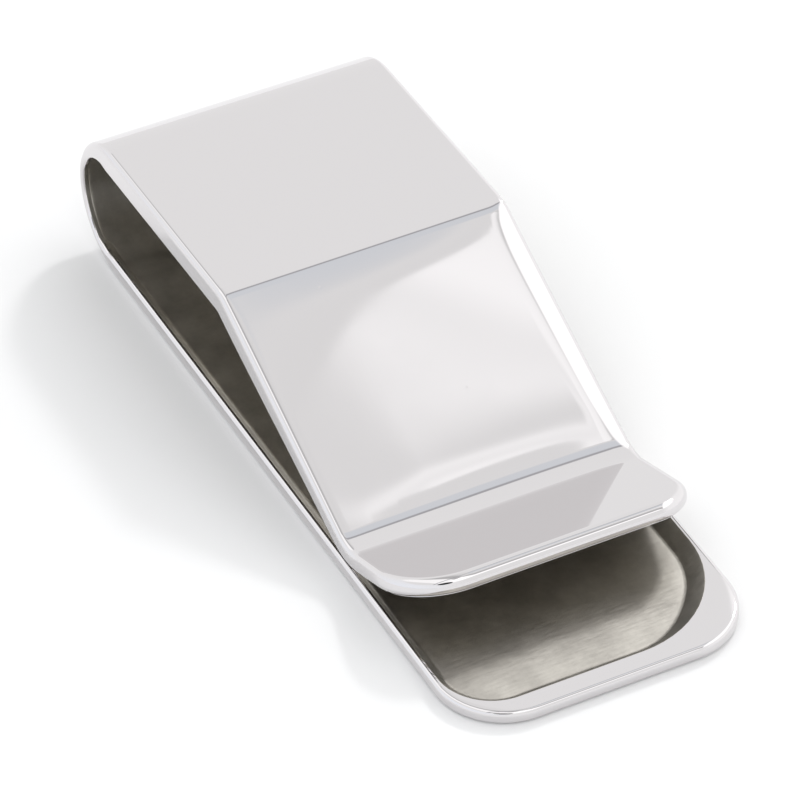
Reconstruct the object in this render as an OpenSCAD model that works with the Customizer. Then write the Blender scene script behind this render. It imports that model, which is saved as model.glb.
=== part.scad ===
// Spring money clip: one strip of polished stainless steel folded over on itself.
// The strip is drawn as the zones that do different work, each one its own solid.
// X runs along the clip from the rear bend to the open end, Y across, Z up.
// The origin is the centre of the resting face, all sizes are in millimetres.

/* [Strip] */
// Width of the strip
strip_w = 22; // [20:0.5:25]
// Thickness of the sheet in the rear bend and in the panels
sheet_t = 0.5; // [0.4:0.05:0.6]
// Thickness of the turned edges along both sides
edge_t = 0.55; // [0.4:0.05:0.8]

/* [Rear bend] */
// Outer radius of the rear bend, its centre is the axis the arms open about
bend_r = 5.3; // [5:0.1:6]
// Angle by which the flat panel rises towards its front edge
panel_rise = 1.2; // [0.5:0.1:1.5]

/* [Lower arm] */
// Overall length of the clip
clip_l = 59; // [57:0.5:64]
// Height of the rim above the resting face
rim_h = 1.04; // [0.9:0.02:1.2]
// Width of the rim along both sides
side_rim_w = 0.5; // [0.4:0.05:0.8]
// Width of the rim across the open end
tip_rim_w = 1.6; // [1.2:0.1:2.4]
// Corner radius of the open end
tip_corner_r = 5; // [4:0.25:6]
// Pocket corner radius on the -Y side
pocket_near_r = 3.9; // [3:0.1:6]
// Pocket corner radius on the +Y side, where the rim is polished wider
pocket_far_r = 8; // [6:0.25:9]

/* [Pressure arm] */
// Distance from the rear of the clip to the convex crease
crease_at = 22.8; // [21:0.1:24]
// Slope of the ramp, measured down from level
ramp_angle = 24.4; // [23.8:0.1:24.4]
// Distance along the ramp from crease to crease
ramp_run = 20.7; // [20:0.1:20.7]
// Slope of the flared lip, measured up from level
lip_angle = 21.4; // [18:0.2:24]
// Distance along the lip from the heel crease to the front edge
lip_run = 9; // [7:0.1:9.4]
// Outer radius of the convex crease
crease_r = 4; // [3:0.25:5]
// Upper radius of the concave heel crease
heel_r = 3.9; // [3:0.1:4.2]
// Depth of the turned edges on the flat panel and at the convex crease
edge_h = 2; // [1.6:0.1:2.2]
// Thickness of the solid heel
heel_t = 1.42; // [1.3:0.02:1.5]
// Thickness of the lip at its front edge
lip_t = 1.3; // [1.1:0.05:1.4]
// Corner radius of the lip
lip_corner_r = 3.6; // [2.5:0.1:5]

/* [Hidden] */
$fn = 96;
x_rear = -clip_l / 2;
axis_x = x_rear + bend_r;
// The pocket runs out into the bend at the rear and has no wall there.
pocket_x = axis_x - 1;
// The inner outline of the turned edge in the bend is a circle set off to the rear.
throat_r = 3.85;
throat_x = axis_x - 1.06;
throat_z = 4.85;

// Unit direction along a slope and the inward normal below it, in the X-Z plane.
function along(a) = [cos(a), sin(a)];
function below(a) = [sin(a), -cos(a)];

// Start of the flat panel, crease corner, heel corner and lip end on the upper face.
panel_start = [axis_x, bend_r] - bend_r * below(panel_rise);
crease_run = (x_rear + crease_at - panel_start[0]) / cos(panel_rise);
crease_pt = panel_start + crease_run * along(panel_rise);
heel_pt = crease_pt + ramp_run * along(-ramp_angle);
lip_pt = heel_pt + lip_run * along(lip_angle);

// Each crease takes this much off the straight faces on both of its sides.
crease_cut = crease_r * tan((panel_rise + ramp_angle) / 2);
heel_cut = heel_r * tan((ramp_angle + lip_angle) / 2);
crease_in = crease_pt - crease_cut * along(panel_rise);
crease_out = crease_pt + crease_cut * along(-ramp_angle);
heel_in = heel_pt - heel_cut * along(-ramp_angle);
heel_out = heel_pt + heel_cut * along(lip_angle);
crease_mid = crease_in + crease_r * below(panel_rise);
heel_mid = heel_in - heel_r * below(-ramp_angle);

// Turn an X-Z outline into a solid of width w centred on y.
module across(w, y = 0) {
    translate([0, y, 0])
        rotate([90, 0, 0])
            linear_extrude(w, center = true)
                children();
}

// The same outline as two strips, one along each side of the clip.
module both_edges(w) {
    for (side = [-1, 1])
        across(w, side * (strip_w - w) / 2)
            children();
}

// Straight part of the strip: upper face p to q on slope a, depth d1 falling to d2.
module straight(p, q, a, d1, d2) {
    polygon([p, q, q + d2 * below(a), p + d1 * below(a)]);
}

// Wedge of a circle about c between two directions less than 180 degrees apart.
module wedge(c, a1, a2, reach) {
    mid = (a1 + a2) / 2;
    polygon([
        c,
        c + reach * along(a1),
        c + 1.5 * reach * along(mid),
        c + reach * along(a2)
    ]);
}

// Curved part of the strip: ring sector about c from radius r1 out to r2.
module curved(c, r1, r2, a1, a2) {
    intersection() {
        difference() {
            translate(c)
                circle(r2);
            translate(c)
                circle(r1);
        }
        wedge(c, a1, a2, 2 * r2);
    }
}

// Plan of the lower arm in X-Y from the bend to the rounded open end.
module arm_plan() {
    half = strip_w / 2;
    corner_x = -x_rear - tip_corner_r;
    translate([axis_x, -half])
        square([corner_x - axis_x, strip_w]);
    translate([axis_x, tip_corner_r - half])
        square([-x_rear - axis_x, strip_w - 2 * tip_corner_r]);
    for (side = [-1, 1])
        translate([corner_x, side * (half - tip_corner_r)])
            circle(tip_corner_r);
}

// Plan of the satin pocket, its two front corners have their own radii.
module pocket_plan() {
    half = strip_w / 2 - side_rim_w;
    end_x = -x_rear - tip_rim_w;
    square_end = end_x - pocket_far_r;
    translate([pocket_x, -half])
        square([square_end - pocket_x, 2 * half]);
    translate([square_end - 1, pocket_near_r - half])
        square([pocket_far_r + 1, 2 * half - pocket_near_r - pocket_far_r]);
    translate([square_end - 1, -half])
        square([pocket_far_r + 1 - pocket_near_r, 2 * half - pocket_far_r]);
    translate([end_x - pocket_near_r, pocket_near_r - half])
        circle(pocket_near_r);
    translate([square_end, half - pocket_far_r])
        circle(pocket_far_r);
}

// Half round of the rear bend, closed by the tilted start of the flat panel.
module bend_zone() {
    reach = 3 * bend_r;
    mid = [axis_x, bend_r];
    polygon([
        mid,
        mid + reach * along(90 + panel_rise),
        mid + 1.5 * reach * along(135),
        mid + 1.5 * reach * along(180),
        mid + 1.5 * reach * along(225),
        mid + reach * along(270)
    ]);
}

// Opening seen from the side inside the bend, round at the rear.
module throat() {
    translate([throat_x, throat_z])
        circle(throat_r);
    polygon([
        [throat_x, rim_h],
        [axis_x + 1, rim_h],
        panel_start + edge_h * below(panel_rise) + [1, 0],
        [throat_x, throat_z + throat_r]
    ]);
}

// Lower arm: thin floor that lies flat and carries the satin pocket face.
module base_plate() {
    color("LightGray")
        linear_extrude(sheet_t)
            arm_plan();
}

// Lower arm: polished rim standing round the pocket on both sides and the open end.
module base_rim() {
    color("Silver")
        translate([0, 0, sheet_t])
            linear_extrude(rim_h - sheet_t)
                difference() {
                    arm_plan();
                    pocket_plan();
                }
}

// Rear bend: the thin leaf that flexes, its side edges swell towards both arms.
module spring_bend() {
    color("Gainsboro") {
        across(strip_w)
            intersection() {
                difference() {
                    translate([axis_x, bend_r])
                        circle(bend_r);
                    translate([axis_x, bend_r])
                        circle(bend_r - sheet_t);
                }
                bend_zone();
            }
        both_edges(edge_t)
            intersection() {
                difference() {
                    translate([axis_x, bend_r])
                        circle(bend_r);
                    throat();
                }
                bend_zone();
            }
    }
}

// Upper arm: flat panel behind the crease with a turned edge on both sides.
module flat_panel() {
    color("WhiteSmoke") {
        across(strip_w)
            straight(panel_start, crease_in, panel_rise, sheet_t, sheet_t);
        both_edges(edge_t)
            straight(panel_start, crease_in, panel_rise, edge_h, edge_h);
    }
}

// Upper arm: convex crease where the strip turns down into the ramp.
module convex_crease() {
    color("Silver") {
        across(strip_w)
            curved(crease_mid, crease_r - sheet_t, crease_r, 90 - ramp_angle, 90 + panel_rise);
        both_edges(edge_t)
            curved(crease_mid, crease_r - edge_h, crease_r, 90 - ramp_angle, 90 + panel_rise);
    }
}

// Upper arm: ramp that slopes down to the heel, its turned edges taper with it.
module ramp_panel() {
    color("WhiteSmoke") {
        across(strip_w)
            straight(crease_out, heel_in, -ramp_angle, sheet_t, sheet_t);
        both_edges(edge_t)
            straight(crease_out, heel_in, -ramp_angle, edge_h, heel_t);
    }
}

// Upper arm: solid rounded heel that presses the notes against the lower arm.
module pressure_heel() {
    color("Silver")
        across(strip_w)
            curved(heel_mid, heel_r, heel_r + heel_t, 270 - ramp_angle, 270 + lip_angle);
}

// Plan of the lip, measured along its slope from the heel corner.
module lip_plan() {
    half = strip_w / 2;
    corner_at = lip_run - lip_corner_r;
    translate([0, -half])
        square([corner_at, strip_w]);
    translate([0, lip_corner_r - half])
        square([lip_run, strip_w - 2 * lip_corner_r]);
    for (side = [-1, 1])
        translate([corner_at, side * (half - lip_corner_r)])
            circle(lip_corner_r);
}

// Upper arm: flared lip that guides the notes in, rounded at both front corners.
module flared_lip() {
    color("WhiteSmoke")
        intersection() {
            across(strip_w)
                straight(heel_out, lip_pt, lip_angle, heel_t, lip_t);
            translate([heel_pt[0], 0, heel_pt[1]])
                rotate([0, -lip_angle, 0])
                    translate([0, 0, -2 * heel_t])
                        linear_extrude(3 * heel_t)
                            lip_plan();
        }
}

base_plate();
base_rim();
spring_bend();
flat_panel();
convex_crease();
ramp_panel();
pressure_heel();
flared_lip();
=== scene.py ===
import math
from dataclasses import dataclass
from typing import Callable

import bmesh
import bpy
import numpy as np
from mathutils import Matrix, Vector


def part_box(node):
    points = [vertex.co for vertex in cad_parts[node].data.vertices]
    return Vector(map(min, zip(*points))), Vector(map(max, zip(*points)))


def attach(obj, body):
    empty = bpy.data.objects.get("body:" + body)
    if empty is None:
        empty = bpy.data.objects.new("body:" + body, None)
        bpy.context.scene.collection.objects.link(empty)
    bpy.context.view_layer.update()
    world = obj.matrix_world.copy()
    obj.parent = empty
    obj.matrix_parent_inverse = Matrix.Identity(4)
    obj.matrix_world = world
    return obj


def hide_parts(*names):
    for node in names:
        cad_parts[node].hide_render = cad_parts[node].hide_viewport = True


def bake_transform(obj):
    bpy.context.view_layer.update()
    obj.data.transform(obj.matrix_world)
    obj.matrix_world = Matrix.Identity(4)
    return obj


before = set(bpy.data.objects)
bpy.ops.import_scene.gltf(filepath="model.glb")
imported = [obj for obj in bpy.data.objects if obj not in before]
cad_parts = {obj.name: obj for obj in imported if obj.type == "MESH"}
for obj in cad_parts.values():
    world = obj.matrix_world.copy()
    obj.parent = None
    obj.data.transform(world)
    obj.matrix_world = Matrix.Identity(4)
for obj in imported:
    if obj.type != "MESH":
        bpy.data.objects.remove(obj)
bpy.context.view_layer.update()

MM = 0.001

# ---------------------------------------------------------------- sizes of the strip, mm
# The CAD boxes give the overall sizes, the rest are the design values of the strip.

rear_low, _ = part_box("spring_bend")
arm_low, arm_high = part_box("base_plate")
_, rim_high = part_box("base_rim")
HALF_W = arm_high.y / MM
REAR_X = rear_low.x / MM
AXIS_X = arm_low.x / MM
TIP_X = arm_high.x / MM
BEND_R = AXIS_X - REAR_X
SHEET_T = arm_high.z / MM
RIM_H = rim_high.z / MM

# Upper arm: a panel, a crease, a ramp, a heel and a lip, followed along the outer face.
PANEL_RISE = math.radians(1.17)
RAMP_FALL = math.radians(24.4)
LIP_RISE = math.radians(19.85)
CREASE_AT = 22.8
CREASE_R = 2.6
RAMP_RUN = 20.35
HEEL_R = 3.2
LIP_RUN = 9.25
LIP_NEAR_R = 4.8
LIP_FAR_R = 3.0

# Turned edges: how deep and how wide they are, and how round their corners. The ramp's
# sheet thickens into the solid heel between two distances before it.
EDGE_H = 2.0
HEEL_T = 1.42
LIP_T = 1.3
EDGE_T = 0.55
SOLID_FROM = 4.0
SOLID_BY = 0.5
ARM_ROUND = 0.4
LIP_ROUND = 0.6
BASE_ROUND = 0.32
ARM_INNER_ROUND = 0.1
BASE_INNER_ROUND = 0.08

# Throat seen from the side: a circle set off rearward and down from the bend's axis. Its
# edge blends into each arm over an angle, in radians.
THROAT_R = 3.85
THROAT_X = AXIS_X - 1.06
THROAT_Z = 4.85
THROAT_MEETS_BASE = 0.3
THROAT_MEETS_PANEL = 0.4

# Rims and pockets, and how far the pockets' sloped walls run in: the lower arm's far wall
# the furthest. A wall runs no further than WALL_PER_DROP times its height.
SIDE_RIM = 0.5
TIP_RIM = 1.6
TIP_CORNER = 5.0
POCKET_NEAR_R = 3.9
POCKET_FAR_R = 8.0
NEAR_WALL = 0.5
FAR_WALL = 1.15
ARM_WALL = 0.3
WALL_GROWS_FROM = 3.0
WALL_GROWS_TO = HALF_W - 2.0
WALL_PER_DROP = 2.2
WALL_TOP_SLOPE = math.radians(22)
LEAST_DROP = 0.02

# Struck form of the ramp: both creases eased, a low crown, rolled and dropped sides.
EASE_TOP = math.radians(1.3)
EASE_FOOT = math.radians(3.4)
EASE_RUN = 3.0
EASE_SKEW = 0.28
RAMP_CROWN = 0.04
SHOULDER_LEAD = 0.4
FAR_SHOULDER_W = 1.35
FAR_SHOULDER_END_W = 0.3
FAR_SHOULDER_DROP = 0.17
NEAR_SHOULDER_W = 0.8
NEAR_SHOULDER_DROP = 0.05
NEAR_ROLL = 0.03

# Fineness of the meshes: steps between stations, counts of points.
LOWER_STEP = 0.5
UPPER_STEP = 0.25
CREASE_STEP = 0.06
CREASE_MARGIN = 1.0
EASE_POINTS = 800
CORNER_POINTS = 14
FRONT_STEPS = 48
OUTER_TURN_POINTS = 8
INNER_TURN_POINTS = 5
BEND_RINGS = 181
BEND_COLUMNS = 49

# Where the bend's even columns start, in from its sides, and the widths of the flat rows
# that keep the rim's and the floor's shading flat.
FACE_INSET = 3.0
FLOOR_INSET = 1.6
COLUMN_GAP = 0.2
FLAT_ROW = 0.2
RIM_ROW = 0.15

# How many rows inside an arm's outline are polished, and how many rows of the bend's near
# and far edges are satin.
POLISHED_ROWS = 2
SATIN_NEAR_ROWS = 2
SATIN_FAR_ROWS = 3

# Section: where its rows lie on the outer face and on the side, how far the wall has run
# and how much of its height is left, and the most that the corners may take up.
FACE_SHARES = (1.0, 0.8, 0.6, 0.42, 0.27, 0.15, 0.07, 0.03)
SIDE_SHARES = (0.05, 0.33, 0.67, 0.95)
WALL_FALL = ((0.12, 0.88), (0.5, 0.5), (0.86, 0.14), (0.95, 0.04), (1.0, 0.0))
OUTER_ROUND_LIMIT = 0.48
INNER_ROUND_LIMIT = 0.45
CORNER_SHARE = 0.95
CORNER_GAP = 0.05

POLISHED, SATIN = 0, 1

# ---------------------------------------------------------------- path of the outer face
# A path gives, for distances s along the outer face from the tangent line of the bend,
# the points and the inward normals in X-Z.


def lower_path(s):
    s = np.asarray(s, float)
    point = np.stack([AXIS_X + s, np.zeros_like(s)], -1)
    inward = np.stack([np.zeros_like(s), np.ones_like(s)], -1)
    return point, inward


def upper_runs():
    """Start point of the upper arm and its runs: (length, start angle, curvature)."""
    panel_x = AXIS_X - BEND_R * math.sin(PANEL_RISE)
    panel_run = (REAR_X + CREASE_AT - panel_x) / math.cos(PANEL_RISE)
    crease_turn = PANEL_RISE + RAMP_FALL
    heel_turn = RAMP_FALL + LIP_RISE
    crease_cut = CREASE_R * math.tan(crease_turn / 2)
    heel_cut = HEEL_R * math.tan(heel_turn / 2)
    start = (panel_x, BEND_R + BEND_R * math.cos(PANEL_RISE))
    runs = [
        (panel_run - crease_cut, PANEL_RISE, 0.0),
        (CREASE_R * crease_turn, PANEL_RISE, -1 / CREASE_R),
        (RAMP_RUN - crease_cut - heel_cut, -RAMP_FALL, 0.0),
        (HEEL_R * heel_turn, -RAMP_FALL, 1 / HEEL_R),
        (LIP_RUN - heel_cut, LIP_RISE, 0.0),
    ]
    return start, runs


UPPER_START, UPPER_RUNS = upper_runs()
RUN_ENDS = np.cumsum([length for length, _, _ in UPPER_RUNS])
PANEL_END, CREASE_END, RAMP_END, HEEL_END, UPPER_LENGTH = RUN_ENDS


def upper_path(s):
    s = np.asarray(s, float)
    x, z = np.full_like(s, UPPER_START[0]), np.full_like(s, UPPER_START[1])
    angle = np.full_like(s, PANEL_RISE)
    left = s.copy()
    for length, start_angle, curvature in UPPER_RUNS:
        is_last = length == UPPER_RUNS[-1][0]
        step = np.maximum(left, 0) if is_last else np.clip(left, 0, length)
        end_angle = start_angle + curvature * step
        if curvature:
            x += (np.sin(end_angle) - math.sin(start_angle)) / curvature
            z += (math.cos(start_angle) - np.cos(end_angle)) / curvature
        else:
            x += step * math.cos(start_angle)
            z += step * math.sin(start_angle)
        angle = np.where(left > 0, end_angle, angle)
        left -= length
    point = np.stack([x, z], -1)
    inward = np.stack([np.sin(angle), -np.cos(angle)], -1)
    return point, inward


def smooth(x, low, high):
    """0 below low, 1 above high, with an S-shaped rise between."""
    t = np.clip((np.asarray(x, float) - low) / (high - low), 0, 1)
    return t * t * (3 - 2 * t)


def mixed(a, b, share):
    """a where share is 0, b where it is 1."""
    return a + (b - a) * share


# ---------------------------------------------------------------- outlines in the plan


class Outline:
    """U-shaped edge of an arm in the plan (s along, y across), open at the bend.

    A curve runs along the near side, round the near corner, along the front, round the
    far corner and back along the far side. Curves at any inset have the same point count.
    """

    def __init__(self, length, half, near_r, far_r):
        self.length, self.half = length, half
        self.near_r, self.far_r = near_r, far_r
        self.stations = []

    def shortest_side(self):
        return self.length - max(self.near_r, self.far_r)

    def sides(self):
        """Stations of the near and the far side, each up to where its corner begins."""
        near = [*self.stations, self.length - self.near_r]
        far = [*self.stations, self.length - self.far_r]
        return np.array(near), np.array(far)

    def curve(self, inset):
        near, far = self.sides()
        turn = np.linspace(0, math.pi / 2, CORNER_POINTS + 2)[1:-1]
        near_c = np.array([self.length - self.near_r, self.near_r - self.half])
        far_c = np.array([self.length - self.far_r, self.half - self.far_r])
        near_way = np.stack([np.sin(turn), -np.cos(turn)], 1)
        far_way = np.stack([np.cos(turn), np.sin(turn)], 1)
        across = np.linspace(near_c[1], far_c[1], FRONT_STEPS + 1)
        return np.concatenate(
            [
                np.stack([near, np.full_like(near, inset - self.half)], 1),
                near_c + (self.near_r - inset) * near_way,
                np.stack([np.full_like(across, self.length - inset), across], 1),
                far_c + (self.far_r - inset) * far_way,
                np.stack([far[::-1], np.full_like(far, self.half - inset)], 1),
            ]
        )

    def inward(self):
        """Unit inward directions in the plan for the points of curve()."""
        return self.curve(1.0) - self.curve(0.0)

    def core(self):
        """Grid of plan points left when both corners have shrunk to their centres."""
        near, far = self.sides()
        mix = np.linspace(0, 1, FRONT_STEPS + 1)[None, :]
        s = near[:, None] * (1 - mix) + far[:, None] * mix
        low, high = self.near_r - self.half, self.half - self.far_r
        y = np.broadcast_to(low * (1 - mix) + high * mix, s.shape)
        return np.stack([s, y], -1)

    def core_edge(self, index):
        """Core vertex numbers in the order of curve(); a corner repeats its centre."""
        near = index[:, 0].tolist()
        front = index[-1, :].tolist()
        far = index[::-1, -1].tolist()
        near_corner, far_corner = [near[-1]] * CORNER_POINTS, [far[0]] * CORNER_POINTS
        return near + near_corner + front + far_corner + far


def share_stations(stations, *outlines):
    """Give the outlines the same side stations, short of all their corners."""
    shortest = min(outline.shortest_side() for outline in outlines)
    shared = [s for s in stations if s < shortest - CORNER_GAP]
    for outline in outlines:
        outline.stations = shared


class MeshMaker:
    """Collects vertices and faces with a material number for each face."""

    def __init__(self):
        self.points, self.faces, self.materials = [], [], []

    def add(self, points):
        """Add vertices, give back their numbers in the shape of the points."""
        points = np.asarray(points, float)
        flat = points.reshape(-1, 3)
        first = len(self.points)
        self.points.extend(flat.tolist())
        return np.arange(first, first + len(flat)).reshape(points.shape[:-1])

    def face(self, corners, material):
        ring = list(dict.fromkeys(corners))
        if len(ring) > 2:
            self.faces.append(ring)
            self.materials.append(material)

    def strip(self, a, b, material):
        for i in range(len(a) - 1):
            self.face([a[i], a[i + 1], b[i + 1], b[i]], material)

    def grid(self, index, material):
        for a, b in zip(index, index[1:]):
            self.strip(a, b, material)

    def build(self, name, materials):
        mesh = bpy.data.meshes.new(name)
        scaled = (np.array(self.points) * MM).tolist()
        mesh.from_pydata(scaled, [], self.faces)
        for material in materials:
            mesh.materials.append(material)
        mesh.polygons.foreach_set("material_index", self.materials)
        mesh.polygons.foreach_set("use_smooth", [True] * len(self.faces))
        shell = bmesh.new()
        shell.from_mesh(mesh)
        bmesh.ops.recalc_face_normals(shell, faces=shell.faces)
        shell.to_mesh(mesh)
        shell.free()
        mesh.update()
        piece = bpy.data.objects.new(name, mesh)
        bpy.context.scene.collection.objects.link(piece)
        return piece


# ---------------------------------------------------------------- section of the strip


def outer_section(edge, start, outer_round):
    """Section from the outer face, round the turned edge, to the start of the rim.

    edge is the depth of the turned edge and start how far in the section starts. Each
    sample is (inset from the outline, depth below the outer face).
    """
    r = np.minimum(outer_round, OUTER_ROUND_LIMIT * edge)
    turn = np.linspace(0, math.pi / 2, OUTER_TURN_POINTS)
    face = [(mixed(r, start, share), 0 * r) for share in FACE_SHARES]
    top = [(r * (1 - math.sin(t)), r * (1 - math.cos(t))) for t in turn]
    side = [(0 * r, mixed(r, edge - r, share)) for share in SIDE_SHARES]
    low = [(r * (1 - math.cos(t)), edge - r * (1 - math.sin(t))) for t in turn]
    return face + top + side + low


def inner_section(edge, inner_round, wall, sheet):
    """Samples (inset from the pocket's edge, depth) from the rim to the pocket floor.

    They go from a row on the rim round the pocket's lip, down the wall, which is an
    S-curve, and end with a row on the floor, which keeps the floor's shading flat.
    """
    drop = edge - sheet
    r = np.minimum(inner_round, INNER_ROUND_LIMIT * drop)
    reach = np.minimum(wall, WALL_PER_DROP * drop)
    turn = np.linspace(0, WALL_TOP_SLOPE, INNER_TURN_POINTS)
    lip = [(-r - RIM_ROW, edge)]
    lip += [(-r + r * math.sin(t), edge - r * (1 - math.cos(t))) for t in turn]
    start, top = lip[-1]
    foot = [(mixed(start, reach, f), mixed(sheet, top, g)) for f, g in WALL_FALL]
    foot.append((reach + FLAT_ROW, sheet))
    return lip + foot


@dataclass
class Arm:
    """What one arm is made from.

    edge, sheet and outer_round are functions of s, wall of y, and form of s and y.
    """

    path: Callable
    outer: Outline
    inner: Outline
    edge: Callable
    sheet: Callable
    wall: Callable
    outer_round: Callable
    inner_round: float
    form: Callable

    def place(self, plan, depth):
        """3-D points for plan positions (s, y) at a depth below the outer face."""
        s, y = plan[..., 0], plan[..., 1]
        point, inward = self.path(s)
        depth = np.broadcast_to(depth, s.shape) - self.form(s, y)
        spot = point + inward * depth[..., None]
        return np.stack([spot[..., 0], y, spot[..., 1]], -1)

    def rows(self, maker, outline, samples_of):
        """One row of vertices round the U for every sample of a section."""
        start, inward = outline.curve(0), outline.inward()
        made = []
        for inset, depth in samples_of(start):
            inset = np.broadcast_to(inset, len(start))
            plan = start + inset[:, None] * inward
            made.append(maker.add(self.place(plan, depth)))
        return made

    def outer_samples(self, plan):
        s = plan[:, 0]
        start = CORNER_SHARE * min(self.outer.near_r, self.outer.far_r)
        return outer_section(self.edge(s), start, self.outer_round(s))

    def inner_samples(self, plan):
        s, y = plan[:, 0], plan[:, 1]
        return inner_section(self.edge(s), self.inner_round, self.wall(y), self.sheet(s))

    def build(self, name, materials):
        """Polished outer face, rounded edge and rim, satin inner face."""
        maker = MeshMaker()
        outer_rows = self.rows(maker, self.outer, self.outer_samples)
        inner_rows = self.rows(maker, self.inner, self.inner_samples)
        outer_core, inner_core = self.outer.core(), self.inner.core()
        face = maker.add(self.place(outer_core, 0.0))
        floor = maker.add(self.place(inner_core, self.sheet(inner_core[..., 0])))
        polished = [self.outer.core_edge(face), *outer_rows, *inner_rows[:POLISHED_ROWS]]
        satin = [*inner_rows[POLISHED_ROWS:], self.inner.core_edge(floor)]
        for a, b in zip(polished, polished[1:]):
            maker.strip(a, b, POLISHED)
        for a, b in zip([polished[-1], *satin], satin):
            maker.strip(a, b, SATIN)
        maker.grid(face, POLISHED)
        maker.grid(floor, SATIN)
        return maker.build(name, materials)


# ---------------------------------------------------------------- lower arm


def lower_wall(y):
    """Run of the pocket's sloped wall: short on the near side, long on the far side."""
    return mixed(NEAR_WALL, FAR_WALL, smooth(y, WALL_GROWS_FROM, WALL_GROWS_TO))


def build_lower_arm(materials):
    length = TIP_X - AXIS_X
    outer = Outline(length, HALF_W, TIP_CORNER, TIP_CORNER)
    inner = Outline(length - TIP_RIM, HALF_W - SIDE_RIM, POCKET_NEAR_R, POCKET_FAR_R)
    share_stations(np.arange(0, length, LOWER_STEP), outer, inner)
    arm = Arm(
        path=lower_path,
        outer=outer,
        inner=inner,
        edge=lambda s: np.full_like(s, RIM_H),
        sheet=lambda s: np.full_like(s, SHEET_T),
        wall=lower_wall,
        outer_round=lambda s: np.full_like(s, BASE_ROUND),
        inner_round=BASE_INNER_ROUND,
        form=lambda s, y: np.zeros_like(s),
    )
    return arm.build("lower_arm", materials)


# ---------------------------------------------------------------- upper arm


def ease_profile():
    """Offset of the ramp's middle line that eases both creases, as (stations, offsets)."""
    s = np.linspace(PANEL_END, HEEL_END, EASE_POINTS)
    leaves_crease = 1 - smooth(s, CREASE_END, CREASE_END + EASE_RUN)
    nears_heel = smooth(s, RAMP_END - EASE_RUN, RAMP_END)
    top = smooth(s, PANEL_END, CREASE_END) * leaves_crease
    foot = nears_heel * (1 - smooth(s, RAMP_END, HEEL_END))
    slope = EASE_TOP * top + EASE_FOOT * foot
    steps = (slope[1:] + slope[:-1]) / 2 * np.diff(s)
    offset = np.concatenate([[0], np.cumsum(steps)])
    return s, offset - offset[-1] * (s - s[0]) / (s[-1] - s[0])


EASE_S, EASE_OFFSET = ease_profile()


def ramp_form(s, y):
    """How far the struck ramp stands proud of a flat one, mm: eased, crowned, shouldered.

    u runs from -1 to 1 along the ramp, v from -1 to 1 across it, and along from -1 to 1
    over the ramp and both creases together.
    """
    s, y = np.broadcast_arrays(np.asarray(s, float), np.asarray(y, float))
    u = np.clip((s - CREASE_END) / (RAMP_END - CREASE_END) * 2 - 1, -1, 1)
    v = np.clip(y / HALF_W, -1, 1)
    whole = (s - PANEL_END + SHOULDER_LEAD) / (HEEL_END - PANEL_END)
    along = np.clip(whole * 2 - 1, -1, 1)
    ease = np.interp(s, EASE_S, EASE_OFFSET) * (1 - v**2) * (1 + EASE_SKEW * v)
    crown = RAMP_CROWN * (1 - v**2) * (1 - u**4)
    far_w = FAR_SHOULDER_W * (1 - along**8) + FAR_SHOULDER_END_W
    far = np.clip((y - HALF_W) / far_w + 1, 0, 1)
    near = np.clip((-y - HALF_W) / NEAR_SHOULDER_W + 1, 0, 1)
    shoulders = FAR_SHOULDER_DROP * far**1.4 + NEAR_SHOULDER_DROP * near**2
    before_heel = 1 - smooth(s, RAMP_END, HEEL_END)
    roll = NEAR_ROLL * smooth(-v, 0.3, 1) * smooth(u, -0.4, 0.9) * before_heel
    return ease + crown - (1 - along**4) * shoulders - roll


def upper_edge(s):
    """Depth of the turned edge: full on the panel, less at the heel and on the lip."""
    depth = mixed(EDGE_H, HEEL_T, smooth(s, CREASE_END, RAMP_END))
    return depth + (LIP_T - HEEL_T) * smooth(s, HEEL_END, UPPER_LENGTH)


def upper_sheet(s):
    """Thickness inside the turned edge: a thin sheet that becomes solid at the heel."""
    solid = smooth(s, RAMP_END - SOLID_FROM, RAMP_END - SOLID_BY)
    return mixed(SHEET_T, upper_edge(s), solid)


def upper_stations():
    """Stations along the upper arm, close together round the crease and the heel."""
    margin = CREASE_MARGIN
    crease = np.arange(PANEL_END - margin, CREASE_END + margin, CREASE_STEP)
    heel = np.arange(RAMP_END - margin, HEEL_END + margin, CREASE_STEP)
    coarse = np.arange(0, UPPER_LENGTH, UPPER_STEP)
    return np.unique(np.round(np.concatenate([crease, heel, coarse]), 4))


def build_upper_arm(materials):
    outer = Outline(UPPER_LENGTH, HALF_W, LIP_NEAR_R, LIP_FAR_R)
    inner = Outline(
        UPPER_LENGTH - EDGE_T, HALF_W - EDGE_T, LIP_NEAR_R - EDGE_T, LIP_FAR_R - EDGE_T
    )
    share_stations(upper_stations(), outer, inner)
    arm = Arm(
        path=upper_path,
        outer=outer,
        inner=inner,
        edge=upper_edge,
        sheet=upper_sheet,
        wall=lambda y: np.full_like(y, ARM_WALL),
        outer_round=lambda s: mixed(ARM_ROUND, LIP_ROUND, smooth(s, RAMP_END, HEEL_END)),
        inner_round=ARM_INNER_ROUND,
        form=ramp_form,
    )
    return arm.build("upper_arm", materials)


# ---------------------------------------------------------------- rear bend
# The bend is followed by its turn, in radians: 0 at the lower arm, BEND_TURN at the panel.

BEND_TURN = math.pi - PANEL_RISE


def bend_edge(turn):
    """Depth of the turned edge: to the throat's circle, blended into both arms."""
    way = np.array([-math.sin(turn), -math.cos(turn)])
    gap = np.array([AXIS_X - THROAT_X, BEND_R - THROAT_Z])
    along = gap @ way
    reach = math.sqrt(along**2 - gap @ gap + THROAT_R**2) - along
    depth = max(BEND_R - reach, SHEET_T + LEAST_DROP)
    depth = mixed(RIM_H, depth, smooth(turn, 0, THROAT_MEETS_BASE))
    return mixed(depth, EDGE_H, smooth(turn, BEND_TURN - THROAT_MEETS_PANEL, BEND_TURN))


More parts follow.
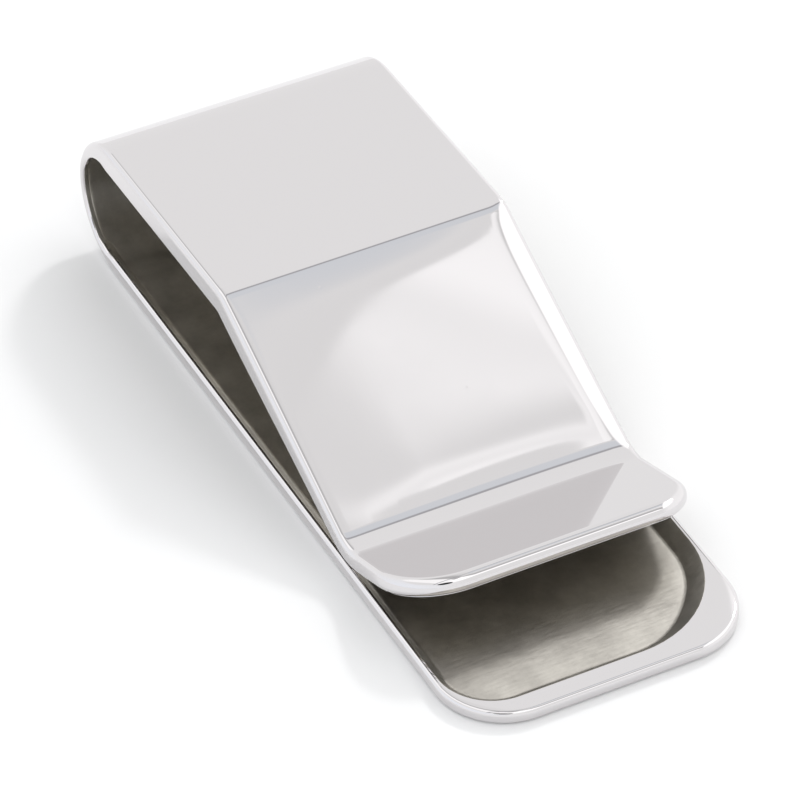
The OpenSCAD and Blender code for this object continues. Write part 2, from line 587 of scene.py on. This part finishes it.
def bend_section(turn):
    """Closed section of the bend as (y, depth) and the first and last satin point."""
    share = turn / math.pi
    edge = bend_edge(turn)
    rim = mixed(SIDE_RIM, EDGE_T, share)
    outer = outer_section(edge, FACE_INSET, mixed(BASE_ROUND, ARM_ROUND, share))
    sides = []
    for wall in (NEAR_WALL, FAR_WALL):
        inner = inner_section(edge, BASE_INNER_ROUND, mixed(wall, ARM_WALL, share), SHEET_T)
        sides.append(outer + [(rim + inset, depth) for inset, depth in inner])
    near_side, far_side = sides
    columns = np.linspace(-1, 1, BEND_COLUMNS)
    floor_half = HALF_W - rim - FLOOR_INSET
    face_half = HALF_W - FACE_INSET - COLUMN_GAP
    ring = [(inset - HALF_W, depth) for inset, depth in near_side]
    ring += [(floor_half * column, SHEET_T) for column in columns]
    ring += [(HALF_W - inset, depth) for inset, depth in reversed(far_side)]
    first = len(outer) - SATIN_NEAR_ROWS
    last = len(ring) - 1 - len(outer) + SATIN_FAR_ROWS
    ring += [(-face_half * column, 0.0) for column in columns]
    return ring, first, last


def build_bend(materials):
    """Rear bend: the section of the strip carried round the half circle."""
    maker = MeshMaker()
    rings = []
    for turn in np.linspace(0, BEND_TURN, BEND_RINGS):
        ring, first, last = bend_section(turn)
        y, depth = np.array(ring).T
        reach = BEND_R - depth
        x = AXIS_X - reach * math.sin(turn)
        z = BEND_R - reach * math.cos(turn)
        made = maker.add(np.stack([x, y, z], -1))
        rings.append(np.append(made, made[0]))
    for a, b in zip(rings, rings[1:]):
        maker.strip(a[: first + 1], b[: first + 1], POLISHED)
        maker.strip(a[first : last + 1], b[first : last + 1], SATIN)
        maker.strip(a[last:], b[last:], POLISHED)
    return maker.build("rear_bend", materials)


# ---------------------------------------------------------------- materials


class Steel:
    """A steel's nodes: the shader, its texture sources and what they feed."""

    def __init__(self, name, color, roughness):
        self.material = bpy.data.materials.new(name)
        self.material.use_nodes = True
        self.nodes = self.material.node_tree.nodes
        self.links = self.material.node_tree.links
        self.shader = self.nodes["Principled BSDF"]
        self.shader.inputs["Base Color"].default_value = (*color, 1)
        self.shader.inputs["Metallic"].default_value = 1.0
        self.shader.inputs["Roughness"].default_value = roughness
        self.where = self.nodes.new("ShaderNodeTexCoord").outputs["Object"]

    def stretched(self, scale, turn=0.0):
        """Object coordinates turned about Z and scaled on each axis."""
        stretch = self.nodes.new("ShaderNodeMapping")
        stretch.inputs["Rotation"].default_value = (0, 0, turn)
        stretch.inputs["Scale"].default_value = scale
        self.links.new(self.where, stretch.inputs["Vector"])
        return stretch.outputs["Vector"]

    def noise(self, where, scale, detail):
        noise = self.nodes.new("ShaderNodeTexNoise")
        noise.inputs["Scale"].default_value = scale
        noise.inputs["Detail"].default_value = detail
        self.links.new(where, noise.inputs["Vector"])
        return noise

    def spread(self, value, socket, low, high):
        """Feed a 0 to 1 value to a shader socket, as low to high."""
        spread = self.nodes.new("ShaderNodeMapRange")
        spread.inputs["To Min"].default_value = low
        spread.inputs["To Max"].default_value = high
        self.links.new(value, spread.inputs["Value"])
        self.links.new(spread.outputs["Result"], self.shader.inputs[socket])

    def bump(self, height, strength, distance):
        bump = self.nodes.new("ShaderNodeBump")
        bump.inputs["Strength"].default_value = strength
        bump.inputs["Distance"].default_value = distance
        self.links.new(height, bump.inputs["Height"])
        self.links.new(bump.outputs["Normal"], self.shader.inputs["Normal"])


def polished_steel():
    """Outer faces: buffed steel with a faint haze, hairlines and a few shallow pits."""
    steel = Steel("polished_steel", (0.728, 0.71, 0.716), 0.05)
    haze = steel.noise(steel.where, scale=320, detail=4)
    steel.spread(haze.outputs["Fac"], "Roughness", 0.02, 0.06)
    hairline = steel.noise(steel.stretched((220, 9000, 220), math.radians(14)), 1.0, 3)
    pits = steel.nodes.new("ShaderNodeTexVoronoi")
    pits.inputs["Scale"].default_value = 420
    steel.links.new(steel.where, pits.inputs["Vector"])
    pit = steel.nodes.new("ShaderNodeMapRange")
    pit.inputs["From Max"].default_value = 0.06
    steel.links.new(pits.outputs["Distance"], pit.inputs["Value"])
    relief = steel.nodes.new("ShaderNodeMath")
    relief.operation = "MULTIPLY_ADD"
    relief.inputs[1].default_value = 0.05
    steel.links.new(hairline.outputs["Fac"], relief.inputs[0])
    steel.links.new(pit.outputs["Result"], relief.inputs[2])
    steel.bump(relief.outputs["Value"], strength=0.12, distance=0.00001)
    return steel.material


def satin_steel():
    """Inner faces: blasted grey steel with a cloudy stain and a grain along the strip."""
    steel = Steel("satin_steel", (0.53, 0.51, 0.475), 0.34)
    stain = steel.noise(steel.where, scale=260, detail=6)
    stain.inputs["Roughness"].default_value = 0.65
    tone = steel.nodes.new("ShaderNodeValToRGB")
    dull, clean = tone.color_ramp.elements
    dull.position, dull.color = 0.34, (0.42, 0.40, 0.365, 1)
    clean.position, clean.color = 0.66, (0.60, 0.575, 0.525, 1)
    steel.links.new(stain.outputs["Fac"], tone.inputs["Fac"])
    steel.links.new(tone.outputs["Color"], steel.shader.inputs["Base Color"])
    grain = steel.noise(steel.stretched((3600, 700, 3600)), scale=1.0, detail=5)
    steel.spread(grain.outputs["Fac"], "Roughness", 0.28, 0.42)
    steel.bump(grain.outputs["Fac"], strength=0.35, distance=0.00003)
    return steel.material


# ---------------------------------------------------------------- camera

CAMERA_AZIMUTH = 62.6
CAMERA_ELEVATION = 40.62
CAMERA_ROLL = 0.11
CAMERA_DISTANCE = 0.3887
CAMERA_TARGET = Vector((-0.0015, 0.0, 0.0012))
CAMERA_LENS = 255.5


def camera_back():
    """Unit direction from the target to the camera."""
    azimuth, elevation = math.radians(CAMERA_AZIMUTH), math.radians(CAMERA_ELEVATION)
    level = math.cos(elevation)
    return Vector(
        (math.sin(azimuth) * level, -math.cos(azimuth) * level, math.sin(elevation))
    )


def build_camera():
    data = bpy.data.cameras.new("camera")
    data.sensor_width = 36
    data.lens = CAMERA_LENS
    data.clip_start, data.clip_end = 0.01, 20
    camera = bpy.data.objects.new("camera", data)
    bpy.context.scene.collection.objects.link(camera)
    back = camera_back()
    camera.location = CAMERA_TARGET + CAMERA_DISTANCE * back
    camera.rotation_euler = (-back).to_track_quat("-Z", "Y").to_euler()
    camera.rotation_euler.rotate_axis("Z", -math.radians(CAMERA_ROLL))
    bpy.context.scene.camera = camera


# ---------------------------------------------------------------- studio
# The clip stands in a white tent lit from outside. Each list gives how bright a part of
# the tent is, as (product of the direction with an axis below, grey or colour).

# Walls, along ACROSS: cool on the near side, white in the middle, bright on the far side.
LOW_TENT = [
    (-1.0, (1.08, 1.12, 1.18)),
    (-0.2, 1.06),
    (0.2, 1.0),
    (0.42, 1.0),
    (0.6, 1.15),
    (1.0, 1.2),
]
# Roof behind the seam, along ACROSS: bright on the near side, a grey fold, then white.
SIDE_TENT = [
    (-0.5, 1.0),
    (-0.45, 1.3),
    (-0.08, 1.3),
    (0.0, 0.6),
    (0.14, 0.6),
    (0.22, 0.88),
    (0.31, 0.95),
    (0.318, 1.0),
    (1.0, 1.0),
]
# Cooler panel between the seam and the overhead box, along TOWARD_PANEL.
COOL_PANEL = [
    (-0.05, (0.81, 0.845, 0.89)),
    (0.26, (0.82, 0.85, 0.89)),
    (0.285, (0.87, 0.885, 0.905)),
    (0.3, 0.95),
    (0.335, 0.92),
]
# Overhead box, along ALONG_BOX: a bright part, the grey fold again, a bright rib and a
# dull end.
OVERHEAD_BOX = [
    (-0.5, 1.5),
    (-0.06, 1.5),
    (0.0, 0.6),
    (0.14, 0.62),
    (0.2, 0.86),
    (0.301, 0.95),
    (0.305, 1.22),
    (0.325, 1.12),
    (0.34, 1.28),
    (0.40, 1.2),
    (0.43, 0.75),
    (1.0, 0.75),
]
FAR_BOX = (1.45, 1.45, 1.45)
DARK_SEAM = (0.5, 0.5, 0.52)
CAMERA_HOLE = (0.04, 0.04, 0.04)

ACROSS = (0, 1, 0)
UP = (0, 0, 1)
TOWARD_PANEL = (1.0, 0.843, 0)
ALONG_BOX = (-0.784, 1.0, 0)

# Where one part of the tent gives way to the next, each over a short soft step.
WALLS_TO_ROOF = (0.6, 0.7)
ROOF_TO_SEAM = (-0.07, -0.04)
SEAM_TO_PANEL = (0.01, 0.04)
PANEL_TO_BOX = (0.328, 0.333)
NEAR_ROOF_TO_PANEL = (0.285, 0.305)
BOX_TO_FAR_BOX = (0.44, 0.46)
HOLE_EDGE = (0.976, 0.984)

KEY_WAY = Vector((-0.42, 0.62, 0.66)).normalized()
KEY_DISTANCE = 0.6
KEY_SIDE = 0.065
KEY_RADIANCE = 58
KEY_TARGET = Vector((0.02, 0, 0))

FLOOR_REACH = 3.0
FLOOR_DROP = 0.00002


def build_floor():
    mesh = bpy.data.meshes.new("studio_floor")
    r = FLOOR_REACH
    mesh.from_pydata([(-r, -r, 0), (r, -r, 0), (r, r, 0), (-r, r, 0)], [], [(0, 1, 2, 3)])
    floor = bpy.data.objects.new("studio_floor", mesh)
    bpy.context.scene.collection.objects.link(floor)
    floor.location.z = -FLOOR_DROP
    material = bpy.data.materials.new("floor_white")
    material.use_nodes = True
    shader = material.node_tree.nodes["Principled BSDF"]
    shader.inputs["Base Color"].default_value = (0.88, 0.88, 0.88, 1)
    shader.inputs["Roughness"].default_value = 0.9
    shader.inputs["Specular IOR Level"].default_value = 0.0
    mesh.materials.append(material)


class Sky:
    """Builds the tent's brightness as a function of direction, on the world's nodes."""

    def __init__(self, name):
        world = bpy.data.worlds.new(name)
        bpy.context.scene.world = world
        world.use_nodes = True
        self.nodes = world.node_tree.nodes
        self.links = world.node_tree.links
        self.where = self.nodes.new("ShaderNodeTexCoord").outputs["Generated"]

    def along(self, axis):
        """Product of the direction looked in and an axis."""
        dot = self.nodes.new("ShaderNodeVectorMath")
        dot.operation = "DOT_PRODUCT"
        self.links.new(self.where, dot.inputs[0])
        dot.inputs[1].default_value = axis
        return dot.outputs["Value"]

    def ramp(self, value, stops):
        """Colour by value; stops are (value, grey or colour), lowest value first."""
        low, high = stops[0][0], stops[-1][0]
        scale = self.nodes.new("ShaderNodeMapRange")
        scale.inputs["From Min"].default_value = low
        scale.inputs["From Max"].default_value = high
        self.links.new(value, scale.inputs["Value"])
        ramp = self.nodes.new("ShaderNodeValToRGB")
        self.links.new(scale.outputs["Result"], ramp.inputs["Fac"])
        marks = ramp.color_ramp.elements
        while len(marks) < len(stops):
            marks.new(0.5)
        for mark, (at, colour) in zip(marks, stops):
            mark.position = (at - low) / (high - low)
            rgb = colour if isinstance(colour, tuple) else (colour,) * 3
            mark.color = (*rgb, 1)
        return ramp.outputs["Color"]

    def step(self, value, over):
        """0 below the first value of over, 1 above the second."""
        soft = self.nodes.new("ShaderNodeMapRange")
        soft.interpolation_type = "SMOOTHSTEP"
        soft.inputs["From Min"].default_value = over[0]
        soft.inputs["From Max"].default_value = over[1]
        self.links.new(value, soft.inputs["Value"])
        return soft.outputs["Result"]

    def mix(self, share, a, b):
        """a where share is 0, b where it is 1; each is a colour or an output."""
        blend = self.nodes.new("ShaderNodeMix")
        blend.data_type = "RGBA"
        self.links.new(share, blend.inputs[0])
        for socket, colour in ((blend.inputs[6], a), (blend.inputs[7], b)):
            if isinstance(colour, tuple):
                socket.default_value = (*colour, 1)
            else:
                self.links.new(colour, socket)
        return blend.outputs[2]

    def finish(self, colour):
        self.links.new(colour, self.nodes["Background"].inputs["Color"])


def build_world():
    """Tent: overhead box, a cooler panel beside it, a far box and a hole for the camera."""
    sky = Sky("studio")
    across, up = sky.along(ACROSS), sky.along(UP)
    tilted = sky.along(TOWARD_PANEL)
    toward_camera = sky.along(tuple(camera_back()))
    roof = sky.ramp(across, SIDE_TENT)
    box = sky.ramp(sky.along(ALONG_BOX), OVERHEAD_BOX)
    panel = sky.ramp(tilted, COOL_PANEL)
    panel = sky.mix(sky.step(across, NEAR_ROOF_TO_PANEL), roof, panel)
    whole = sky.mix(sky.step(tilted, ROOF_TO_SEAM), roof, DARK_SEAM)
    whole = sky.mix(sky.step(tilted, SEAM_TO_PANEL), whole, panel)
    whole = sky.mix(sky.step(tilted, PANEL_TO_BOX), whole, box)
    whole = sky.mix(sky.step(across, BOX_TO_FAR_BOX), whole, FAR_BOX)
    whole = sky.mix(sky.step(up, WALLS_TO_ROOF), sky.ramp(across, LOW_TENT), whole)
    whole = sky.mix(sky.step(toward_camera, HOLE_EDGE), whole, CAMERA_HOLE)
    sky.finish(whole)


def build_key_light():
    """Small area light of even brightness; its radiance is what a mirror sees in it."""
    lamp = bpy.data.lights.new("key_light", "AREA")
    lamp.size = KEY_SIDE
    lamp.energy = KEY_RADIANCE * math.pi * KEY_SIDE**2
    key = bpy.data.objects.new("key_light", lamp)
    key.location = KEY_DISTANCE * KEY_WAY
    key.rotation_euler = (KEY_TARGET - key.location).to_track_quat("-Z", "Y").to_euler()
    bpy.context.scene.collection.objects.link(key)


# ---------------------------------------------------------------- assembly

steels = [polished_steel(), satin_steel()]

lower = build_lower_arm(steels)
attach(lower, "base")
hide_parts("base_plate", "base_rim")

upper = build_upper_arm(steels)
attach(upper, "pressure_arm")
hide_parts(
    "flat_panel", "convex_crease", "ramp_panel", "pressure_heel", "flared_lip"
)

bend = build_bend(steels)
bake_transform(bend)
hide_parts("spring_bend")

build_floor()
build_world()
build_key_light()
build_camera()
bpy.context.scene.view_settings.view_transform = "Standard"
